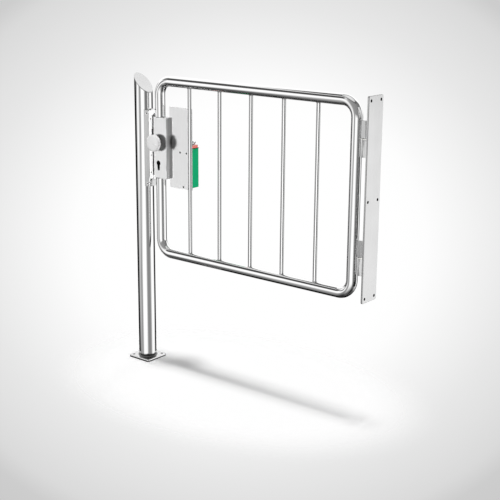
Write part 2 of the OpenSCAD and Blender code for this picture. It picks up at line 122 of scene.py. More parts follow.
# Camera: azimuth, elevation and roll in degrees, lens and film width in millimetres, and how far it
# stands from the gate's middle to its own right, up and back, in metres
CAMERA_TURN = (39.068, 14.939, 0.451)
CAMERA_LENS, CAMERA_FILM = 80.08, 36.0
CAMERA_OFF = (0.01350, -0.03569, 3.51273)

# Lamps: tip from straight down and turn about the upright, then how wide the lamp looks, all in degrees
LAMPS = {
    "overhead": (0.9, 0, 8.0),
    "left": (90, -23, 10.0),
    "right": (103, 60, 4.0),
    "side": (90, 90, 20.0),
    "back": (90, 197, 20.0),
}
# Soft box for the bars: tip, turn from the camera's azimuth, side in metres and distance from the leaf
STRIP_TIP, STRIP_TURN, STRIP_SIZE, STRIP_AWAY = 102, -8, 2.2, 4.0

# The only pieces that shade these lamps, so that the pale plates stay even
SHADES = {
    "left": ["knob_turned"],
    "right": ["lock_case_finished", "lock_forend_finished", "strike_channel_finished",
              "guard_plate_finished"],
    "strip": ["knob_turned"],
}
# The only pieces that these lamps reach
LIT = {
    "right": ["strike_channel_finished", "wall_plate_finished", "guard_housing_finished",
              "guard_cap_finished", "guard_cylinder", *(f"hinge_washer_{end}" for end in ENDS),
              *(f"{side}_knuckle_{end}_finished" for side in ("leaf", "wall") for end in ENDS)],
    "side": ["lock_case_finished", "lock_forend_finished", "knob_turned", "guard_plate_finished",
             "guard_plate_screws", "guard_rail", "lever_rose_finished"],
    "strip": BARS,
}

# Light tent: radius and middle in metres
TENT_R = 8.0
TENT_AT = (0.452, 0.0, 0.49)
# Its walls below, near and above its horizon: angle from the camera's side, and brightness
LOW_WALLS = [
    (-180, 0.6), (-172, 0.55), (-165, 0.0), (-115, 0.0), (-106, 0.2), (-97, 0.44), (-87, 0.5), (-79, 0.44),
    (-71, 0.28), (-64, 0.25), (-58, 0.36), (-52, 0.65), (-45, 0.95), (-38, 1.0), (-4, 1.0), (3, 0.72),
    (9, 0.42), (15, 0.26), (30, 0.23), (48, 0.24), (57, 0.32), (64, 0.55), (70, 0.85), (77, 1.0),
    (110, 1.0), (117, 0.7), (124, 0.1), (132, 0.0), (165, 0.0), (172, 0.55), (180, 0.6),
]
EYE_WALLS = [
    (-180, 0.6), (-172, 0.55), (-165, 0.0), (-115, 0.0), (-105, 0.3), (-98, 0.65), (-91, 0.9), (-84, 1.0),
    (-75, 0.95), (-66, 0.6), (-58, 0.33), (-49, 0.24), (-43, 0.35), (-37, 0.78), (-30, 1.0), (-3, 1.0),
    (5, 0.78), (11, 0.42), (17, 0.22), (30, 0.15), (47, 0.15), (56, 0.25), (64, 0.5), (71, 0.85),
    (79, 1.0), (109, 1.0), (118, 0.7), (127, 0.15), (136, 0.0), (165, 0.0), (172, 0.55), (180, 0.6),
]
HIGH_WALLS = [
    (-180, 1.0), (-66, 1.0), (-54, 0.4), (-45, 0.28), (30, 0.22), (84, 0.15), (108, 0.13), (117, 1.0),
    (180, 1.0),
]
# How the low walls darken downwards, where each higher layer begins, and the crown: elevation, and share
# or brightness
LOW_BANDS = [(-90, 0.06), (-55, 0.1), (-48, 0.28), (-40, 0.45), (-33, 0.7), (-26, 0.9), (-20, 1.0)]
TO_EYE = [(-17, 0.0), (-7, 1.0)]
TO_HIGH = [(-3, 0.0), (4, 1.0)]
TO_CROWN = [(53, 0.0), (57, 1.0)]
CROWN = [(54, 0.05), (59, 0.07), (66, 0.6), (80, 0.75)]
# Black flags in front of the walls: how dense they are by angle, and by elevation
FLAGS = [
    ([(-121, 0.0), (-111, 0.93), (-68, 0.93), (-60, 0.0)], [(21, 0.0), (26, 1.0), (49, 1.0), (53, 0.0)]),
    ([(-107, 0.0), (-102, 0.8), (-89, 0.8), (-85, 0.0)], [(-4, 0.0), (-1, 1.0), (16, 1.0), (24, 0.0)]),
    ([(-122, 0.0), (-106, 0.75), (-87, 0.8), (-80, 0.0)], [(-42, 0.0), (-36, 1.0), (-25, 1.0), (-19, 0.0)]),
]

# Floor: radius, middle and how far it lies below the base plate, in metres
FLOOR_R, FLOOR_AT, FLOOR_DROP = 2.2, 0.45, 0.0005
# Its own glow at the post and at the far side, GLOW_REACH along, which thins the gate's shadow
GLOW_AT_POST, GLOW_AT_WALL, GLOW_REACH = 0.2, 0.6, 0.9
# It fades between two ovals round FADE_AT, FADE_STRETCH times as long as they are wide
FADE_FROM, FADE_TO, FADE_AT, FADE_STRETCH = 0.3, 0.5, 0.4, 1.45

# Backdrop: sine of the angle off the gate, and brightness. It is wider than it is high, and its middle is a
# little off the camera's axis
BACKDROP = [(0.0, 1.0), (0.134, 1.0), (0.156, 0.985), (0.189, 0.912), (0.215, 0.855), (0.238, 0.803),
            (0.265, 0.757), (0.295, 0.70), (0.313, 0.61), (0.36, 0.58), (0.5, 0.62), (1.0, 0.85)]
BACKDROP_SQUASH, BACKDROP_TILT = 1.15, 0.008
# The room's light weakens upwards between these sines of elevation, to this share
ROOM_FROM, ROOM_TO, ROOM_ABOVE = 0.2, 0.6, 0.3


# ---- sizes, colours and light that a user would change ----

def length(name, description, default_mm, low=0.0):
    """A length property in metres, given in millimetres."""
    return bpy.props.FloatProperty(name=name, description=description, default=default_mm * MM,
                                   min=low * MM, subtype="DISTANCE", unit="LENGTH", precision=4)


def linear(code):
    """sRGB hex code to the linear RGBA that shaders take."""
    parts = [int(code[i:i + 2], 16) / 255 for i in (1, 3, 5)]
    return tuple(p / 12.92 if p <= 0.04045 else ((p + 0.055) / 1.055) ** 2.4 for p in parts) + (1.0,)


def colour(name, description, code):
    """A colour property from an sRGB hex code."""
    return bpy.props.FloatVectorProperty(name=name, description=description, subtype="COLOR", size=3,
                                         min=0.0, max=1.0, default=linear(code)[:3])


def level(name, description, default):
    """A plain strength property."""
    return bpy.props.FloatProperty(name=name, description=description, default=default, min=0.0)


class GateSizes(bpy.types.PropertyGroup):
    sheet_edge: length("Sheet edge", "Radius of the ground edges of sheet and plate", 0.7, 0.1)
    fold_edge: length("Fold", "Outer radius of the strike's bends", 2.6, 0.5)
    block_edge: length("Block edge", "Radius of the hinges' ground edges", 0.5, 0.1)
    plastic_edge: length("Plastic edge", "Radius of the guard's moulded edges", 1.2, 0.2)
    bead: length("Weld bead", "Radius of the ground weld beads", 1.5, 0.3)
    foot_bead: length("Foot bead", "Radius of the weld bead at the post's foot", 3.2, 0.5)
    screw_sink: length("Screw sink", "How far the screw heads sit below the sheet", 0.15)


class GateColours(bpy.types.PropertyGroup):
    tube_steel: colour("Polished steel", "Reflected colour of the polished tubes", "#F0F0F0")
    plate_steel: colour("Ground steel", "Colour of the ground plates", "#D9D9D9")
    blasted_steel: colour("Blasted steel", "Colour of the blasted plates", "#E9E9E9")
    bar_steel: colour("Bars", "Reflected colour of the thin bars", "#BFBFBF")
    stock_steel: colour("Drawn stock", "Colour of the lock case's drawn sides", "#DADADA")
    edge_steel: colour("Cut edge", "Colour of laser cut edges", "#C9C9C9")
    cut_steel: colour("Thin cut edge", "Colour of the dark cut edges of thin sheet", "#7A7A7A")
    bead_steel: colour("Raw bead", "Colour of weld beads left as they came", "#7F7F7F")
    # The heat tint colour only serves as painted shade, at the post's foot and low on the base plate's edge
    tint: colour("Heat tint", "Colour of steel beside a weld that was not pickled", "#343434")
    # Also the painted shade inside holes and screw sockets
    works: colour("Lock works", "Colour of the blackened lock works", "#0A0A0A")
    washer: colour("Washer", "Colour of the bearing washers", "#D9D8D2")
    green: colour("Guard housing", "Moulded colour of the guard's housing", "#149362")
    red: colour("Guard cap", "Moulded colour of the guard's cap", "#CC6459")
    rubber: colour("Rubber", "Colour of the stop buffers and the guard's seal", "#1C1C1E")
    # Also the knob's back, as painted shade
    nylon: colour("Nylon", "Colour of the guard's rail and the knob's bush", "#17181A")


class GateLight(bpy.types.PropertyGroup):
    room: level("Room light", "Light from all round, weaker from above", 0.06)
    overhead: level("Overhead lamp", "Strength of the lamp above", 2.85)
    left: level("Left lamp", "Strength of the lamp in front, on the left", 2.9)
    side: level("Side lamp", "Strength of the lamp on the right", 3.2)
    back: level("Back lamp", "Strength of the lamp behind", 2.4)
    strip: level("Strip lamp", "Brightness of the soft box that the thin bars mirror", 1.8)
    right: level("Right lamp", "Strength of the lamp in front, on the right", 4.2)
    tent: level("Light tent", "Brightness of the tent that the steel mirrors", 1.2)


# ---- materials ----

def node(tree, kind, links=None, stops=(), **settings):
    """Adds a shader node with its settings.

    links maps an input to a value, or to the output that feeds it. stops are the places and grey levels
    of a colour ramp."""
    made = tree.nodes.new(kind)
    for key, value in settings.items():
        setattr(made, key, value)
    for key, value in (links or {}).items():
        if isinstance(value, bpy.types.NodeSocket):
            tree.links.new(value, made.inputs[key])
        else:
            made.inputs[key].default_value = value
    if stops:
        elements = made.color_ramp.elements
        while len(elements) < len(stops):
            elements.new(0.5)
        for element, (place, grey) in zip(elements, stops):
            element.position = place
            element.color = (grey, grey, grey, 1.0)
    return made


def fresh(name):
    """A new material with a Principled BSDF; returns material, tree, shader and Object coordinates."""
    made = bpy.data.materials.new(name)
    made.use_nodes = True
    tree = made.node_tree
    place = node(tree, "ShaderNodeTexCoord")
    return made, tree, tree.nodes["Principled BSDF"], place.outputs["Object"]


def emptied(owner):
    """The node tree of a new material or world, with nothing in it."""
    owner.use_nodes = True
    owner.node_tree.nodes.clear()
    return owner.node_tree


def opaque(tint, share=1.0):
    """A linear RGB tint as RGBA, darkened to a share of itself."""
    return tuple(part * share for part in tint) + (1.0,)


def steel(name, tint, rough, pitch, depth, metal=1.0, gloss=0.5, patch=0.03, streak=0.06, crisp=0.0):
    """Stainless steel with scratches, whose pitch along X, Y and Z is in millimetres.

    depth is their bump, streak how dark they are, and crisp how sharply they part, or 0 for softly.
    patch is how far the roughness strays from rough."""
    made, tree, shader, place = fresh(name)
    shader.inputs["Metallic"].default_value = metal
    shader.inputs["Specular IOR Level"].default_value = gloss
    stretched = node(tree, "ShaderNodeMapping", {"Vector": place, "Scale": [1 / (p * MM) for p in pitch]})
    lines = node(tree, "ShaderNodeTexNoise", {"Vector": stretched.outputs[0], "Scale": 1.0, "Detail": 3.0})
    share = lines.outputs["Fac"]
    if crisp:
        share = node(tree, "ShaderNodeMapRange", {
            "Value": share, "From Min": 0.5 - crisp, "From Max": 0.5 + crisp}).outputs[0]
    mixed = node(tree, "ShaderNodeMix", {
        "Factor": share, "A": opaque(tint, 1 - 2 * streak), "B": opaque(tint)}, data_type="RGBA")
    tree.links.new(mixed.outputs["Result"], shader.inputs["Base Color"])
    # Patches about 71 mm across, from uneven polishing
    cloud = node(tree, "ShaderNodeTexNoise", {"Vector": place, "Scale": 1 / (71.4 * MM), "Detail": 2.0})
    sheen = node(tree, "ShaderNodeMapRange", {
        "Value": cloud.outputs["Fac"], "From Min": 0.3, "From Max": 0.7,
        "To Min": rough - patch, "To Max": rough + patch})
    tree.links.new(sheen.outputs[0], shader.inputs["Roughness"])
    bump = node(tree, "ShaderNodeBump", {
        "Height": lines.outputs["Fac"], "Strength": depth, "Distance": 0.2 * MM})
    tree.links.new(bump.outputs[0], shader.inputs["Normal"])
    return made


def stained(made, tint, low, high):
    """Darkens a steel below a height: painted shade low down on a part."""
    tree = made.node_tree
    shader = tree.nodes["Principled BSDF"]
    clean = shader.inputs["Base Color"].links[0].from_socket
    place = next(n for n in tree.nodes if n.bl_idname == "ShaderNodeTexCoord").outputs["Object"]
    split = node(tree, "ShaderNodeSeparateXYZ", {0: place})
    # The painted shade's edge wavers every 17 mm or so
    ragged = node(tree, "ShaderNodeTexNoise", {"Vector": place, "Scale": 1 / (16.7 * MM), "Detail": 2.0})
    height = node(tree, "ShaderNodeMath", {
        0: ragged.outputs["Fac"], 1: (low - high) * 0.5, 2: split.outputs["Z"]}, operation="MULTIPLY_ADD")
    above = node(tree, "ShaderNodeMapRange", {
        "Value": height.outputs[0], "From Min": low, "From Max": high}, interpolation_type="SMOOTHSTEP")
    both = node(tree, "ShaderNodeMix", {
        "Factor": above.outputs[0], "A": opaque(tint), "B": clean}, data_type="RGBA")
    tree.links.new(both.outputs["Result"], shader.inputs["Base Color"])
    return made


def plastic(name, tint, rough, pitch, gloss=0.5):
    """Moulded plastic with a fine spark-eroded grain, whose pitch is in millimetres."""
    made, tree, shader, place = fresh(name)
    shader.inputs["IOR"].default_value = 1.53
    shader.inputs["Specular IOR Level"].default_value = gloss
    fine = node(tree, "ShaderNodeTexNoise", {"Vector": place, "Scale": 1 / (pitch * MM), "Detail": 2.0})
    mixed = node(tree, "ShaderNodeMix", {
        "Factor": fine.outputs["Fac"], "A": opaque(tint, 0.9), "B": opaque(tint)}, data_type="RGBA")
    tree.links.new(mixed.outputs["Result"], shader.inputs["Base Color"])
    sheen = node(tree, "ShaderNodeMapRange", {
        "Value": fine.outputs["Fac"], "To Min": rough - 0.06, "To Max": rough + 0.06})
    tree.links.new(sheen.outputs[0], shader.inputs["Roughness"])
    bump = node(tree, "ShaderNodeBump", {
        "Height": fine.outputs["Fac"], "Strength": 0.25, "Distance": 0.1 * MM})
    tree.links.new(bump.outputs[0], shader.inputs["Normal"])
    return made


FINISH = {}


def mix_finishes():
    """Makes every material once.

    Real scratches and grain are a few hundredths of a millimetre apart, too fine to show. They are drawn
    0.7 to 9 mm apart, as coarse as each needs to be."""
    tints = bpy.context.scene.gate_colours
    # Welded stainless tube, polished: a near mirror with faint marks
    polished = {"rough": 0.05, "pitch": (3.33, 3.33, 3.33), "depth": 0.02, "patch": 0.015, "streak": 0.01}
    FINISH["tube"] = steel("polished_stainless_tube", tints.tube_steel, **polished)
    # The post's tube, the same, with painted shade at its foot where it meets the base plate
    FINISH["post"] = steel("polished_stainless_post", tints.tube_steel, **polished)
    stained(FINISH["post"], tints.tint, *POST_STAIN)
    # Thin bars, drawn and polished: the same mirror, a little greyer
    FINISH["bar"] = steel("drawn_stainless_bar", tints.bar_steel, rough=0.04, pitch=(3.33, 3.33, 3.33),
                          depth=0.01, patch=0.01, streak=0.01)
    # Stainless sheet, ground and glass bead blasted: pale and almost without reflections
    FINISH["blasted"] = steel("blasted_stainless_sheet", tints.blasted_steel, rough=0.5,
                              pitch=(1.43, 1.43, 83.3), depth=0.15, metal=0.0, gloss=0.2)
    # Stainless flat bar, ground along its length: soft reflections
    FINISH["plate"] = steel("ground_stainless_bar", tints.plate_steel, rough=0.22,
                            pitch=(1.43, 1.43, 83.3), depth=0.1)
    # The cap's thin sheet, ground finer: the same reflections, with hardly a line
    FINISH["cap"] = steel("ground_stainless_sheet", tints.plate_steel, rough=0.25, pitch=(3.33, 3.33, 3.33),
                          depth=0.05, streak=0.02)
    # The strike's strip, ground coarser before it was folded: faint lines a few millimetres apart, and
    # darker than the pale blasted finish of its outer side, as painted shade
    FINISH["fold"] = steel("coarse_ground_strip", tints.edge_steel, rough=0.22, pitch=(9.09, 9.09, 333),
                           depth=0.1, streak=0.12)
    # Sides of the drawn box section: duller, with crisp dark upright stripes every few millimetres
    FINISH["stock"] = steel("drawn_stainless_section", tints.stock_steel, rough=0.3,
                            pitch=(9.09, 9.09, 667), depth=0.1, streak=0.3, crisp=0.1)
    # Laser cut edge: even and a little darker than the faces
    FINISH["edge"] = steel("laser_cut_stainless_edge", tints.edge_steel, rough=0.25, pitch=(2, 2, 2),
                           depth=0.3)
    # The thick base plate's edge, with painted shade along its lower part, next to the floor
    FINISH["foot_edge"] = steel("laser_cut_thick_edge", tints.tube_steel, rough=0.2, pitch=(2.5, 2.5, 16.7),
                                depth=0.2)
    stained(FINISH["foot_edge"], tints.tint, *PLATE_STAIN)
    # Cut edges of thin sheet, left dark by the cut; the forend wears it too, as painted shade in the gap
    # between strike and lock case
    FINISH["cut"] = steel("dark_cut_sheet_edge", tints.cut_steel, rough=0.35, pitch=(2, 2, 2), depth=0.3)
    # Turned stainless: pale, with a fine and even sheen
    FINISH["turned"] = steel("turned_stainless", tints.blasted_steel, rough=0.28, pitch=(1.11, 1.11, 1.11),
                             depth=0.1, metal=0.3)
    # Hinge pins, drawn bright: a mirror with short lines along them
    FINISH["pin"] = steel("bright_drawn_pin", tints.tube_steel, rough=0.08, pitch=(1.11, 1.11, 16.7),
                          depth=0.05)
    # Weld bead, brushed: rougher and uneven
    FINISH["bead"] = steel("brushed_weld_bead", tints.edge_steel, rough=0.3, pitch=(1.43, 1.43, 1.43),
                           depth=0.5, patch=0.1)
    # Weld bead left as it came: dark with oxide
    FINISH["raw_bead"] = steel("raw_weld_bead", tints.bead_steel, rough=0.3, pitch=(2, 2, 2), depth=0.6,
                               patch=0.1)
    # Acetal washers: pale and smooth
    FINISH["washer"] = plastic("pale_grey_acetal", tints.washer, rough=0.35, pitch=1.11)
    # Blackened lock works, and painted shade inside holes and sockets: almost no light comes back
    FINISH["works"] = plastic("blackened_lock_works", tints.works, rough=0.7, pitch=1.67, gloss=0.1)
    # Rubber buffers and seal: black and dull
    FINISH["rubber"] = plastic("black_rubber", tints.rubber, rough=0.75, pitch=1.11)
    # Nylon rail and bush: black with a weak sheen. The knob's back wears it too, as painted shade
    FINISH["nylon"] = plastic("black_nylon", tints.nylon, rough=0.5, pitch=0.833, gloss=0.3)
    # Guard's housing, moulded with a grain: an even green with next to no shine
    FINISH["green"] = plastic("green_moulded_plastic", tints.green, rough=0.45, pitch=0.714, gloss=0.03)
    # Guard's cap, moulded in a smoother tool: a soft shine
    FINISH["red"] = plastic("red_moulded_plastic", tints.red, rough=0.22, pitch=0.714)


def wear(piece, *finishes):
    """Gives a new piece its materials, or a CAD node its only one."""
    for slot in piece.material_slots:
        slot.material = FINISH[finishes[0]]
    if not piece.material_slots:
        for finish in finishes:
            piece.data.materials.append(FINISH[finish])


# ---- shared shapes ----

def set_down(mesh, name):
    """Makes the bmesh an object at the origin."""
    data = bpy.data.meshes.new(name)
    mesh.to_mesh(data)
    mesh.free()
    made = bpy.data.objects.new(name, data)
    bpy.context.scene.collection.objects.link(made)
    return made


def finish_piece(mesh, name, body, slot, *finishes):
    """Makes the bmesh a piece that rides on a body."""
    piece = set_down(mesh, name)
    wear(piece, *finishes)
    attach(piece, body)
    return piece


def middle(node_name):
    """The middle of a node's box."""
    low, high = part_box(node_name)
    return (low + high) / 2


def ease(mesh, edges, radius, segments, clamp=False):
    """Rounds edges and returns the new faces."""
    made = bmesh.ops.bevel(mesh, geom=edges, offset=radius, offset_type="OFFSET", affect="EDGES",
                           segments=segments, profile=0.5, material=-1, clamp_overlap=clamp)
    return made["faces"]


def in_curve(edge):
    """True on an edge between two facets of one round surface."""
    return edge.is_manifold and FLAT < edge.calc_face_angle(0) < FACET


def in_bore(face):
    """True on a facet of a bore, whose neighbours turn inwards."""
    return any(in_curve(edge) and not edge.is_convex for edge in face.edges)


def eased(node_name, body, slot, radius, *finishes, pick=None, second=None, segments=2):
    """A copy of a CAD node with its outer edges eased, which stands for the node.

    pick says which edges are eased, and second which faces take the second finish, or a later one."""
    mesh = bmesh.new()
    mesh.from_mesh(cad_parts[node_name].data)
    bmesh.ops.remove_doubles(mesh, verts=mesh.verts, dist=SAME_POINT)
    bmesh.ops.dissolve_limit(mesh, angle_limit=math.radians(0.5), verts=mesh.verts, edges=mesh.edges)
    mesh.normal_update()
    for face in mesh.faces:
        face.smooth = any(in_curve(edge) for edge in face.edges)
        face.material_index = int(second(face)) if second else 0
    sharp = [e for e in mesh.edges if e.is_manifold and e.is_convex and e.calc_face_angle(0) > CORNER
             and not any(in_bore(face) for face in e.link_faces) and (pick is None or pick(e))]
    for face in ease(mesh, sharp, radius, segments, clamp=True):
        face.smooth = True
    piece = finish_piece(mesh, node_name + "_finished", body, slot, *finishes)
    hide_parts(node_name)
    return piece


def ring(mesh, place, radius, bead, saddle=0.0):
    """Adds a weld bead round a circle about the place's Z axis.

    saddle is the radius of the tube across X that the bead lies on, or 0 on a flat face."""
    upright = Matrix.Translation((radius, 0, 0)) @ Matrix.Rotation(math.pi / 2, 4, "X")
    profile = bmesh.ops.create_circle(mesh, radius=bead, segments=8, matrix=upright)
    edges = list({e for v in profile["verts"] for e in v.link_edges})
    before = set(mesh.verts) - set(profile["verts"])
    bmesh.ops.spin(mesh, geom=profile["verts"] + edges, cent=(0, 0, 0), axis=(0, 0, 1), angle=2 * math.pi,
                   steps=32, use_merge=True)
    made = [v for v in mesh.verts if v not in before]
    if saddle:
        for vert in made:
            vert.co.z += math.sqrt(saddle ** 2 - min(abs(vert.co.y), saddle) ** 2) - saddle
    bmesh.ops.transform(mesh, matrix=place, verts=made)


def bar_bead(mesh, start, end, bead):
    """Adds a straight weld bead with round ends."""
    way, centre = end - start, (start + end) / 2
    place = Matrix.Translation(centre) @ way.to_track_quat("Z", "Y").to_matrix().to_4x4()
    made = bmesh.ops.create_uvsphere(mesh, u_segments=12, v_segments=6, radius=bead, matrix=place)
    # Each half of the sphere moves to its end, and the ring between them stays
    for vert in made["verts"]:
        side = (vert.co - centre).dot(way)
        if abs(side) > 1e-9:
            vert.co += math.copysign(0.5, side) * way


def beads(mesh, name, body, slot, finish):
    """Finishes a mesh of weld beads."""
    bmesh.ops.recalc_face_normals(mesh, faces=mesh.faces)
    for face in mesh.faces:
        face.smooth = True
    return finish_piece(mesh, name, body, slot, finish)


def screw(mesh, at, out, head, shank, socket):
    """Adds a countersunk screw head with a hexagon socket, its face at a point, looking out."""
    place = Matrix.Translation(at) @ out.to_track_quat("Z", "Y").to_matrix().to_4x4()
    rim = bmesh.ops.create_circle(mesh, radius=head / 2, segments=24)["verts"]
    key = bmesh.ops.create_circle(mesh, radius=socket / 2, segments=6)["verts"]
    rims, keys = [list({e for v in loop for e in v.link_edges}) for loop in (rim, key)]
    made = rim + key
    bmesh.ops.bridge_loops(mesh, edges=rims + keys)
    # The socket's walls and floor take the second finish, as painted shade inside the socket
    for finish, edges, sink, taper in ((1, keys, SOCKET_DEPTH * socket, SOCKET_TAPER),
                                       (0, rims, (head - shank) / 2, shank / head)):
        wall = bmesh.ops.extrude_edge_only(mesh, edges=edges)["geom"]
        low = [v for v in wall if isinstance(v, bmesh.types.BMVert)]
        bmesh.ops.scale(mesh, vec=(taper, taper, 1), verts=low)
        bmesh.ops.translate(mesh, vec=(0, 0, -sink), verts=low)
        ends = [e for e in wall if isinstance(e, bmesh.types.BMEdge) and e.is_boundary]
        floor = bmesh.ops.holes_fill(mesh, edges=ends, sides=0)["faces"]
        for face in floor + [f for f in wall if isinstance(f, bmesh.types.BMFace)]:
            face.material_index = finish
        made += low
    bmesh.ops.transform(mesh, matrix=place, verts=made)


def screws(name, body, slot, spots, out, sizes):
    """A set of like screws, sunk a little below the face that they are in."""
    mesh = bmesh.new()
    sink = bpy.context.scene.gate_sizes.screw_sink
    for spot in spots:
        screw(mesh, Vector(spot) - out * sink, out, *sizes)
    bmesh.ops.recalc_face_normals(mesh, faces=mesh.faces)
    return finish_piece(mesh, name, body, slot, "turned", "works")


# ---- operators: one for each group of pieces ----

class GATE_OT_post(bpy.types.Operator):
    """Finish the post: base plate with cut edges and painted shade low on them, tube with painted shade at
    its foot, cap and weld bead
    """
    bl_idname = "gate.post"
    bl_label = "Post"

    def execute(self, context):
        sizes = context.scene.gate_sizes
        wear(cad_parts["post_tube"], "post")
        # Its edges take painted shade low down, and its bores the black finish as painted shade inside them
        eased("base_plate", FIXED, "satin_plate", sizes.sheet_edge, "plate", "foot_edge", "works",
              second=lambda face: 2 * in_bore(face) or abs(face.normal.z) < ALONG)
        eased("post_cap", FIXED, "satin_plate", sizes.sheet_edge, "cap")
        low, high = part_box("post_tube")
        mesh = bmesh.new()
        ring(mesh, Matrix.Translation((0, 0, low.z)), (high.x - low.x) / 2, sizes.foot_bead)
        beads(mesh, "post_foot_bead", FIXED, "satin_plate", "raw_bead")
        return {"FINISHED"}


class GATE_OT_strike(bpy.types.Operator):
    """Finish the strike on the post: folded channel, saddles, screws and stop buffers"""
    bl_idname = "gate.strike"
    bl_label = "Strike"

    def execute(self, context):
        sizes = context.scene.gate_sizes
        saddles_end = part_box("strike_saddle_upper")[1].x

        def fold(edge):
            return edge.calc_length() > FOLD_LENGTH and min(v.co.x for v in edge.verts) > saddles_end

        # Its outer (+X) faces take the pale blasted finish and its other long faces the darker ground one:
        # painted light
        eased("strike_channel", FIXED, "satin_plate", sizes.fold_edge, "fold", "blasted", "cut", segments=4,
              pick=fold, second=lambda face: 2 * (abs(face.normal.z) > ALONG) or face.normal.x > ALONG)
        for end in ENDS:
            eased("strike_saddle_" + end, FIXED, "satin_plate", sizes.block_edge, "plate")
            eased("stop_buffer_" + end, FIXED, "buffer_rubber", sizes.block_edge, "rubber")
        low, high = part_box("strike_channel")
        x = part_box("post_tube")[1].x + STRIKE_SCREW_IN
        upper, lower = [middle("strike_saddle_" + end).z for end in ENDS]
        screws("strike_screws_front", FIXED, "turned_steel", [(x, low.y, upper), (x, low.y, lower)],
               Vector((0, -1, 0)), STRIKE_SCREW)
        screws("strike_screw_back", FIXED, "turned_steel", [(x, high.y, upper)], Vector((0, 1, 0)),
               STRIKE_SCREW)
        return {"FINISHED"}


class GATE_OT_wall_side(bpy.types.Operator):
    """Finish the wall plate and the hinges, with the beads that hold their tails"""
    bl_idname = "gate.wall_side"
    bl_label = "Wall plate and hinges"

    def execute(self, context):
        sizes = context.scene.gate_sizes
        # Its bores take the black finish as painted shade inside them
        eased("wall_plate", FIXED, "satin_plate", sizes.sheet_edge, "plate", "edge", "works", "cut",
              second=lambda face: 2 * in_bore(face) or 3 * (abs(face.normal.z) > ALONG)
              or abs(face.normal.x) < ALONG)
        thin = sizes.bead * THIN_BEAD
        plate_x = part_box("wall_plate")[0].x
        # Where the side of a tail meets the round stile
        stile_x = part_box("frame_tube")[1].x - TUBE_R + math.sqrt(TUBE_R ** 2 - (STILE_TAIL / 2) ** 2)
        for end in ENDS:
            wear(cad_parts["hinge_pin_" + end], "pin")
            wear(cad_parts["hinge_washer_" + end], "washer")
            eased("wall_knuckle_" + end, FIXED, "turned_steel", sizes.block_edge, "plate")
            eased("leaf_knuckle_" + end, LEAF, "turned_steel", sizes.block_edge, "plate")
            self.tail("wall_knuckle_" + end, FIXED, plate_x, WALL_TAIL / 2, thin)
            self.tail("leaf_knuckle_" + end, LEAF, stile_x, STILE_TAIL / 2, thin)
        return {"FINISHED"}

    def tail(self, knuckle, body, x, half, bead):
        """The upright beads on both sides of a tail that is half its thickness to each side."""
        low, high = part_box(knuckle)
        mesh = bmesh.new()
        for y in (-half, half):
            bar_bead(mesh, Vector((x, y, low.z + bead)), Vector((x, y, high.z - bead)), bead)
        beads(mesh, knuckle + "_beads", body, "satin_plate", "bead")


class GATE_OT_leaf(bpy.types.Operator):
    """Finish the leaf: polished frame and bars, with a bead at every joint"""
    bl_idname = "gate.leaf"
    bl_label = "Frame and bars"

    def execute(self, context):
        bead = context.scene.gate_sizes.bead
        wear(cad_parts["frame_tube"], "tube")
        frame_low, frame_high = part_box("frame_tube")
        for name in BARS:
            wear(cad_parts[name], "bar")
            low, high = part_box(name)
            x, bar_r = (low.x + high.x) / 2, (high.x - low.x) / 2
            mesh = bmesh.new()
            for z, turn in ((frame_low.z + 2 * TUBE_R, 0), (frame_high.z - 2 * TUBE_R, math.pi)):
                place = Matrix.Translation((x, 0, z)) @ Matrix.Rotation(turn, 4, "X")
                ring(mesh, place, bar_r, bead, TUBE_R)
            beads(mesh, name + "_beads", LEAF, "satin_plate", "bead")
        case_low, case_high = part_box("lock_case")
        mesh = bmesh.new()
        for z in (case_low.z, case_high.z):
            ring(mesh, Matrix.Translation((frame_low.x + TUBE_R, 0, z)), TUBE_R - bead / 3, bead * THIN_BEAD)
        beads(mesh, "lock_case_beads", LEAF, "satin_plate", "raw_bead")
        return {"FINISHED"}


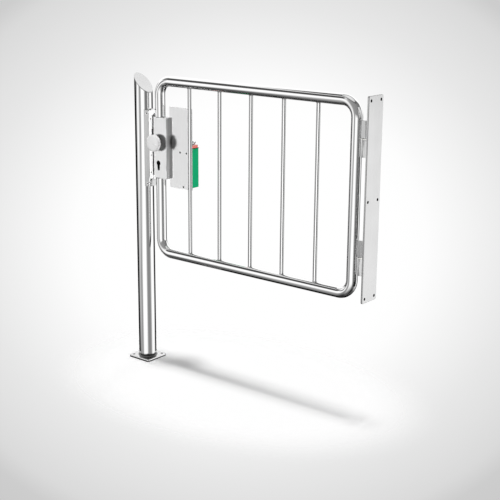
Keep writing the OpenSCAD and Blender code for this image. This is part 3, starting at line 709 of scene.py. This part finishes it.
class GATE_OT_lock(bpy.types.Operator):
    """Finish the lock: case, forend with its screws, latch, works and knob"""
    bl_idname = "gate.lock"
    bl_label = "Lock"

    def execute(self, context):
        sizes = context.scene.gate_sizes
        eased("lock_case", LEAF, "satin_plate", sizes.block_edge * 0.8, "blasted", "stock",
              second=lambda face: abs(face.normal.y) < CASE_ALONG)
        # The forend wears the dark cut finish: painted shade in the gap between the strike and the lock case
        eased("lock_forend", LEAF, "turned_steel", sizes.block_edge, "cut")
        wear(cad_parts["lock_body"], "works")
        eased("latch_bolt", LEAF, "turned_steel", sizes.block_edge, "turned")
        low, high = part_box("lock_forend")
        spots = [(low.x, 0, z) for z in (low.z + FOREND_SCREW_IN, high.z - FOREND_SCREW_IN)]
        screws("forend_screws", LEAF, "turned_steel", spots, Vector((-1, 0, 0)), FOREND_SCREW)
        self.knob()
        return {"FINISHED"}

    def knob(self):
        """The fixed knob: a turned disc with a round rim and a barely domed face, on a black bush, its back
        black as painted shade.
        """
        low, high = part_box("knob")
        radius, back = (high.x - low.x) / 2, low.y + KNOB_DISC
        outline = [(radius * share, low.y + fall) for share, fall in KNOB_DOME]
        # A quarter round in front and one at the back, in steps of 15 degrees
        for start, y in ((-90, low.y + KNOB_FALL + KNOB_RIM), (0, back - KNOB_RIM)):
            for turn in range(start, start + 91, 15):
                angle = math.radians(turn)
                outline.append((radius - KNOB_RIM + KNOB_RIM * math.cos(angle),
                                y + KNOB_RIM * math.sin(angle)))
        outline.append((radius * KNOB_BACK, back))
        outline += [(bush_r, high.y - ahead) for bush_r, ahead in KNOB_BUSH]
        mesh = bmesh.new()
        verts = [mesh.verts.new((r, y, 0)) for r, y in outline]
        edges = [mesh.edges.new(pair) for pair in zip(verts, verts[1:])]
        bmesh.ops.spin(mesh, geom=verts + edges, cent=(0, 0, 0), axis=(0, 1, 0), angle=2 * math.pi, steps=64,
                       use_merge=True)
        bmesh.ops.remove_doubles(mesh, verts=mesh.verts, dist=SAME_POINT / 2)
        bmesh.ops.holes_fill(mesh, edges=[e for e in mesh.edges if e.is_boundary], sides=0)
        bmesh.ops.recalc_face_normals(mesh, faces=mesh.faces)
        centre = middle("knob")
        bmesh.ops.translate(mesh, verts=mesh.verts, vec=(centre.x, 0, centre.z))
        for face in mesh.faces:
            face.smooth = True
            # The bush is black nylon; the back of the disc and of its rim are black as painted shade
            face.material_index = int(face.calc_center_median().y > back - KNOB_MOULDING)
        piece = finish_piece(mesh, "knob_turned", LEAF, "turned_steel", "turned", "nylon")
        piece.data.set_sharp_from_angle(angle=math.radians(35))
        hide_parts("knob")


class GATE_OT_guard(bpy.types.Operator):
    """Finish the door guard: mounting plate, screws, rail, housing, cap, seal and key cylinder"""
    bl_idname = "gate.guard"
    bl_label = "Door guard"

    def execute(self, context):
        sizes = context.scene.gate_sizes
        eased("guard_plate", LEAF, "satin_plate", sizes.sheet_edge * 0.6, "blasted", "edge",
              second=lambda face: abs(face.normal.y) < ALONG)
        wear(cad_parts["guard_rail"], "nylon")
        eased("guard_housing", GUARD, "guard_green", sizes.plastic_edge, "green", segments=3)
        eased("guard_cap", GUARD, "guard_red", sizes.plastic_edge, "red", segments=3)
        wear(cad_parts["guard_cylinder"], "turned")
        self.gasket(sizes)
        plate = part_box("guard_plate")[0]
        x, top = middle("guard_rail").x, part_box("guard_rail")[1].z
        spots = [(x, plate.y, plate.z + GUARD_SCREW_LOW)]
        for side in (-GUARD_SCREW_SIDE, GUARD_SCREW_SIDE):
            spots.append((x + side, plate.y, top - GUARD_SCREW_HIGH))
        screws("guard_plate_screws", LEAF, "turned_steel", spots, Vector((0, -1, 0)), GUARD_SCREW)
        return {"FINISHED"}

    def gasket(self, sizes):
        """The black seal between housing and cap, a little proud of both."""
        low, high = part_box("guard_housing")
        # It stops short of the rail, which it passes as the guard slides down
        low.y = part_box("guard_rail")[1].y + GASKET_GAP
        size = high - low + Vector((2 * GASKET_PROUD, 2 * GASKET_PROUD, 0))
        size.z = GASKET_HIGH
        mesh = bmesh.new()
        bmesh.ops.create_cube(mesh, size=1.0)
        bmesh.ops.scale(mesh, vec=size, verts=mesh.verts)
        bmesh.ops.translate(mesh, vec=((low.x + high.x) / 2, (low.y + high.y) / 2, high.z), verts=mesh.verts)
        # First the upright edges, then the lips round the top and bottom
        for upright, radius, segments in ((True, sizes.plastic_edge, 3), (False, GASKET_HIGH / 3, 2)):
            edges = [e for e in mesh.edges
                     if (abs(e.verts[0].co.z - e.verts[1].co.z) > SAME_HEIGHT) == upright]
            ease(mesh, edges, radius, segments)
        finish_piece(mesh, "guard_gasket", GUARD, "buffer_rubber", "rubber")


class GATE_OT_lever(bpy.types.Operator):
    """Finish the lever and its rose"""
    bl_idname = "gate.lever"
    bl_label = "Lever"

    def execute(self, context):
        wear(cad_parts["lever_handle"], "tube")
        eased("lever_rose", LEAF, "turned_steel", context.scene.gate_sizes.sheet_edge, "turned")
        return {"FINISHED"}


class GATE_OT_stage(bpy.types.Operator):
    """Make the floor, the light tent, the lamps, the world and the camera"""
    bl_idname = "gate.stage"
    bl_label = "Stage"

    def execute(self, context):
        scene = context.scene
        light = scene.gate_light
        scene.view_settings.view_transform = "Standard"
        right, up, back = self.camera(scene)
        self.tent(light.tent)
        self.floor()
        self.world(scene, right, up + BACKDROP_TILT * back, light.room)
        lamps = {name: self.lamp(scene, name, getattr(light, name), *LAMPS[name]) for name in LAMPS}
        lamps["strip"] = self.strip(scene, light.strip)
        for name, pieces in SHADES.items():
            lamps[name].light_linking.blocker_collection = self.group(f"shades_{name}_lamp", pieces)
        for name, pieces in LIT.items():
            lamps[name].light_linking.receiver_collection = self.group(f"lit_by_{name}_lamp", pieces)
        return {"FINISHED"}

    def group(self, name, pieces):
        """A collection of pieces, outside the scene, for a lamp to refer to."""
        made = bpy.data.collections.new(name)
        for piece in pieces:
            made.objects.link(bpy.data.objects[piece])
        return made

    def camera(self, scene):
        """The camera, level but for its roll; returns its right, up and back directions."""
        azimuth, elevation, roll = [math.radians(angle) for angle in CAMERA_TURN]
        back = Vector((math.sin(azimuth) * math.cos(elevation), -math.cos(azimuth) * math.cos(elevation),
                       math.sin(elevation)))
        beside = Vector((math.cos(azimuth), math.sin(azimuth), 0))
        above = back.cross(beside)
        right = math.cos(roll) * beside + math.sin(roll) * above
        up = math.cos(roll) * above - math.sin(roll) * beside
        low, high = [Vector(corner) for corner in CAD_BOX]
        turned = Matrix((right, up, back)).transposed()
        camera = bpy.data.objects.new("camera", bpy.data.cameras.new("camera"))
        camera.data.sensor_width, camera.data.lens = CAMERA_FILM, CAMERA_LENS
        camera.data.clip_end = 200
        at = (low + high) / 2 + turned @ Vector(CAMERA_OFF)
        camera.matrix_world = Matrix.Translation(at) @ turned.to_4x4()
        scene.collection.objects.link(camera)
        scene.camera = camera
        return right, up, back

    def lamp(self, scene, name, strength, tip, turn, spread):
        """A far lamp that no mirror shows."""
        sun = bpy.data.lights.new(name + "_lamp", "SUN")
        sun.energy = strength
        sun.angle = math.radians(spread)
        made = bpy.data.objects.new(name + "_lamp", sun)
        made.rotation_euler = Euler((math.radians(tip), 0, math.radians(turn)))
        made.visible_glossy = False
        scene.collection.objects.link(made)
        return made

    def strip(self, scene, strength):
        """A soft box that the thin bars mirror as one bright line each."""
        box = bpy.data.lights.new("strip_lamp", "AREA")
        box.size = STRIP_SIZE
        # A panel of this brightness gives off its strength times pi from each square metre
        box.energy = strength * math.pi * STRIP_SIZE ** 2
        made = bpy.data.objects.new("strip_lamp", box)
        made.rotation_euler = Euler((math.radians(STRIP_TIP), 0, math.radians(CAMERA_TURN[0] + STRIP_TURN)))
        away = made.rotation_euler.to_matrix() @ Vector((0, 0, STRIP_AWAY))
        made.location = middle("frame_tube") + away
        made.visible_camera = False
        scene.collection.objects.link(made)
        return made

    def tent(self, strength):
        """A round tent with pale and dark panels, seen only by reflections."""
        mesh = bmesh.new()
        bmesh.ops.create_uvsphere(mesh, u_segments=48, v_segments=24, radius=TENT_R)
        bmesh.ops.reverse_faces(mesh, faces=mesh.faces)
        tent = set_down(mesh, "light_tent")
        tent.location = TENT_AT
        for ray in ("camera", "diffuse", "shadow", "transmission", "volume_scatter"):
            setattr(tent, "visible_" + ray, False)
        made = bpy.data.materials.new("tent_panels")
        tree = emptied(made)
        place = node(tree, "ShaderNodeTexCoord").outputs["Object"]
        way = node(tree, "ShaderNodeVectorMath", {0: place}, operation="NORMALIZE").outputs[0]
        azimuth = math.radians(CAMERA_TURN[0])
        facing = (math.sin(azimuth), -math.cos(azimuth), 0)
        beside = (math.cos(azimuth), math.sin(azimuth), 0)
        near, side = [node(tree, "ShaderNodeVectorMath", {0: way, 1: axis}, operation="DOT_PRODUCT")
                      for axis in (facing, beside)]
        angle = node(tree, "ShaderNodeMath", {0: side.outputs["Value"], 1: near.outputs["Value"]},
                     operation="ARCTAN2").outputs[0]
        turn = node(tree, "ShaderNodeMapRange", {"Value": angle, "From Min": -math.pi, "From Max": math.pi})
        split = node(tree, "ShaderNodeSeparateXYZ", {0: way})
        rise = node(tree, "ShaderNodeMath", {0: split.outputs["Z"]}, operation="ARCSINE").outputs[0]
        climb = node(tree, "ShaderNodeMapRange", {
            "Value": rise, "From Min": -math.pi / 2, "From Max": math.pi / 2})

        walls = [LOW_WALLS, EYE_WALLS, HIGH_WALLS] + [angles for angles, heights in FLAGS]
        low, eye, high, *flag_walls = [
            node(tree, "ShaderNodeValToRGB", {0: turn.outputs[0]}, self.shares(wall, 180)).outputs[0]
            for wall in walls]
        bands = [LOW_BANDS, TO_EYE, TO_HIGH, TO_CROWN, CROWN] + [heights for angles, heights in FLAGS]
        dim, to_eye, to_high, to_crown, crown, *flag_bands = [
            node(tree, "ShaderNodeValToRGB", {0: climb.outputs[0]}, self.shares(band, 90)).outputs[0]
            for band in bands]
        # Each layer covers the ones before it by its share
        layers = [(1.0, dim, "MULTIPLY"), (to_eye, eye, "MIX"), (to_high, high, "MIX"),
                  (to_crown, crown, "MIX")]
        for wall, band in zip(flag_walls, flag_bands):
            flag = node(tree, "ShaderNodeMath", {0: wall, 1: band}, operation="MULTIPLY")
            layers.append((flag.outputs[0], linear("#000000"), "MIX"))
        wall = low
        for share, layer, how in layers:
            wall = node(tree, "ShaderNodeMix", {"Factor": share, "A": wall, "B": layer}, data_type="RGBA",
                        blend_type=how).outputs["Result"]
        glow = node(tree, "ShaderNodeEmission", {"Color": wall, "Strength": strength})
        node(tree, "ShaderNodeOutputMaterial", {"Surface": glow.outputs[0]})
        tent.data.materials.append(made)

    def shares(self, table, reach):
        """A table's angles, from -reach to reach, as places from 0 to 1 for a colour ramp."""
        return [((angle + reach) / (2 * reach), grey) for angle, grey in table]

    def floor(self):
        """A pale floor that keeps the gate's shadow and fades into the backdrop."""
        mesh = bmesh.new()
        bmesh.ops.create_circle(mesh, cap_ends=True, radius=FLOOR_R, segments=96)
        bmesh.ops.translate(mesh, verts=mesh.verts, vec=(FLOOR_AT, 0, -FLOOR_DROP))
        floor = set_down(mesh, "floor")
        floor.visible_glossy = False
        made = bpy.data.materials.new("floor_paper")
        tree = emptied(made)
        place = node(tree, "ShaderNodeTexCoord").outputs["Object"]
        split = node(tree, "ShaderNodeSeparateXYZ", {0: place})
        glow = node(tree, "ShaderNodeMapRange", {
            "Value": split.outputs["X"], "From Min": 0.0, "From Max": GLOW_REACH,
            "To Min": GLOW_AT_POST, "To Max": GLOW_AT_WALL})
        paper = node(tree, "ShaderNodeBsdfDiffuse", {"Color": linear("#FFFFFF")})
        white = node(tree, "ShaderNodeEmission", {"Color": linear("#FFFFFF"), "Strength": 1.0})
        lit = node(tree, "ShaderNodeMixShader", {
            0: glow.outputs[0], 1: paper.outputs[0], 2: white.outputs[0]})
        centred = node(tree, "ShaderNodeMapping", {
            "Vector": place, "Location": (-FADE_AT / FADE_STRETCH, 0, 0), "Scale": (1 / FADE_STRETCH, 1, 1)})
        away = node(tree, "ShaderNodeVectorMath", {0: centred.outputs[0]}, operation="LENGTH")
        fade = node(tree, "ShaderNodeMapRange", {
            "Value": away.outputs["Value"], "From Min": FADE_FROM, "From Max": FADE_TO},
            interpolation_type="SMOOTHSTEP")
        clear = node(tree, "ShaderNodeBsdfTransparent")
        both = node(tree, "ShaderNodeMixShader", {
            0: fade.outputs[0], 1: lit.outputs[0], 2: clear.outputs[0]})
        node(tree, "ShaderNodeOutputMaterial", {"Surface": both.outputs[0]})
        floor.data.materials.append(made)

    def world(self, scene, right, up, strength):
        """White backdrop, a little darker away from the gate, and plain light from all round."""
        world = bpy.data.worlds.new("studio")
        scene.world = world
        tree = emptied(world)
        way = node(tree, "ShaderNodeTexCoord").outputs["Generated"]
        across, rise = [node(tree, "ShaderNodeVectorMath", {0: way, 1: tuple(axis)}, operation="DOT_PRODUCT")
                        for axis in (right, up * BACKDROP_SQUASH)]
        flat = node(tree, "ShaderNodeCombineXYZ", {0: across.outputs["Value"], 1: rise.outputs["Value"]})
        off = node(tree, "ShaderNodeVectorMath", {0: flat.outputs[0]}, operation="LENGTH")
        shade = node(tree, "ShaderNodeValToRGB", {0: off.outputs["Value"]}, BACKDROP)
        backdrop = node(tree, "ShaderNodeBackground", {"Color": shade.outputs[0], "Strength": 1.0})
        height = node(tree, "ShaderNodeSeparateXYZ", {0: way})
        soft = node(tree, "ShaderNodeMapRange", {
            "Value": height.outputs["Z"], "From Min": ROOM_FROM, "From Max": ROOM_TO,
            "To Min": strength, "To Max": strength * ROOM_ABOVE})
        room = node(tree, "ShaderNodeBackground", {"Color": linear("#FFFFFF"), "Strength": soft.outputs[0]})
        # Camera, mirrors and glass see the backdrop, and everything else is lit by the room
        rays = node(tree, "ShaderNodeLightPath").outputs
        seen = rays["Is Camera Ray"]
        for ray in ("Is Glossy Ray", "Is Transmission Ray"):
            seen = node(tree, "ShaderNodeMath", {0: seen, 1: rays[ray]}, operation="MAXIMUM").outputs[0]
        both = node(tree, "ShaderNodeMixShader", {0: seen, 1: room.outputs[0], 2: backdrop.outputs[0]})
        node(tree, "ShaderNodeOutputWorld", {"Surface": both.outputs[0]})


STEPS = ["post", "strike", "wall_side", "leaf", "lock", "guard", "lever", "stage"]


class GATE_PT_sidebar(bpy.types.Panel):
    """Lists the gate's pieces, sizes, colours and light"""
    bl_idname = "GATE_PT_sidebar"
    bl_label = "Railing gate"
    bl_space_type = "VIEW_3D"
    bl_region_type = "UI"
    bl_category = "Gate"

    def draw(self, context):
        for step in STEPS:
            self.layout.operator("gate." + step)
        for group in GROUPS:
            owner = getattr(context.scene, group)
            box = self.layout.box()
            for prop in type(owner).__annotations__:
                box.prop(owner, prop)


GROUPS = {"gate_sizes": GateSizes, "gate_colours": GateColours, "gate_light": GateLight}
CLASSES = [*GROUPS.values(), GATE_OT_post, GATE_OT_strike, GATE_OT_wall_side, GATE_OT_leaf, GATE_OT_lock,
           GATE_OT_guard, GATE_OT_lever, GATE_OT_stage, GATE_PT_sidebar]


def register():
    """Adds the classes, and the sizes, colours and light to the scene."""
    for made in CLASSES:
        bpy.utils.register_class(made)
    for name, group in GROUPS.items():
        setattr(bpy.types.Scene, name, bpy.props.PointerProperty(type=group))


def unregister():
    """Takes them away again."""
    for name in GROUPS:
        delattr(bpy.types.Scene, name)
    for made in reversed(CLASSES):
        bpy.utils.unregister_class(made)


def main():
    """Builds the gate and its stage."""
    register()
    mix_finishes()
    for step in STEPS:
        getattr(bpy.ops.gate, step)()


if __name__ == "__main__":
    main()
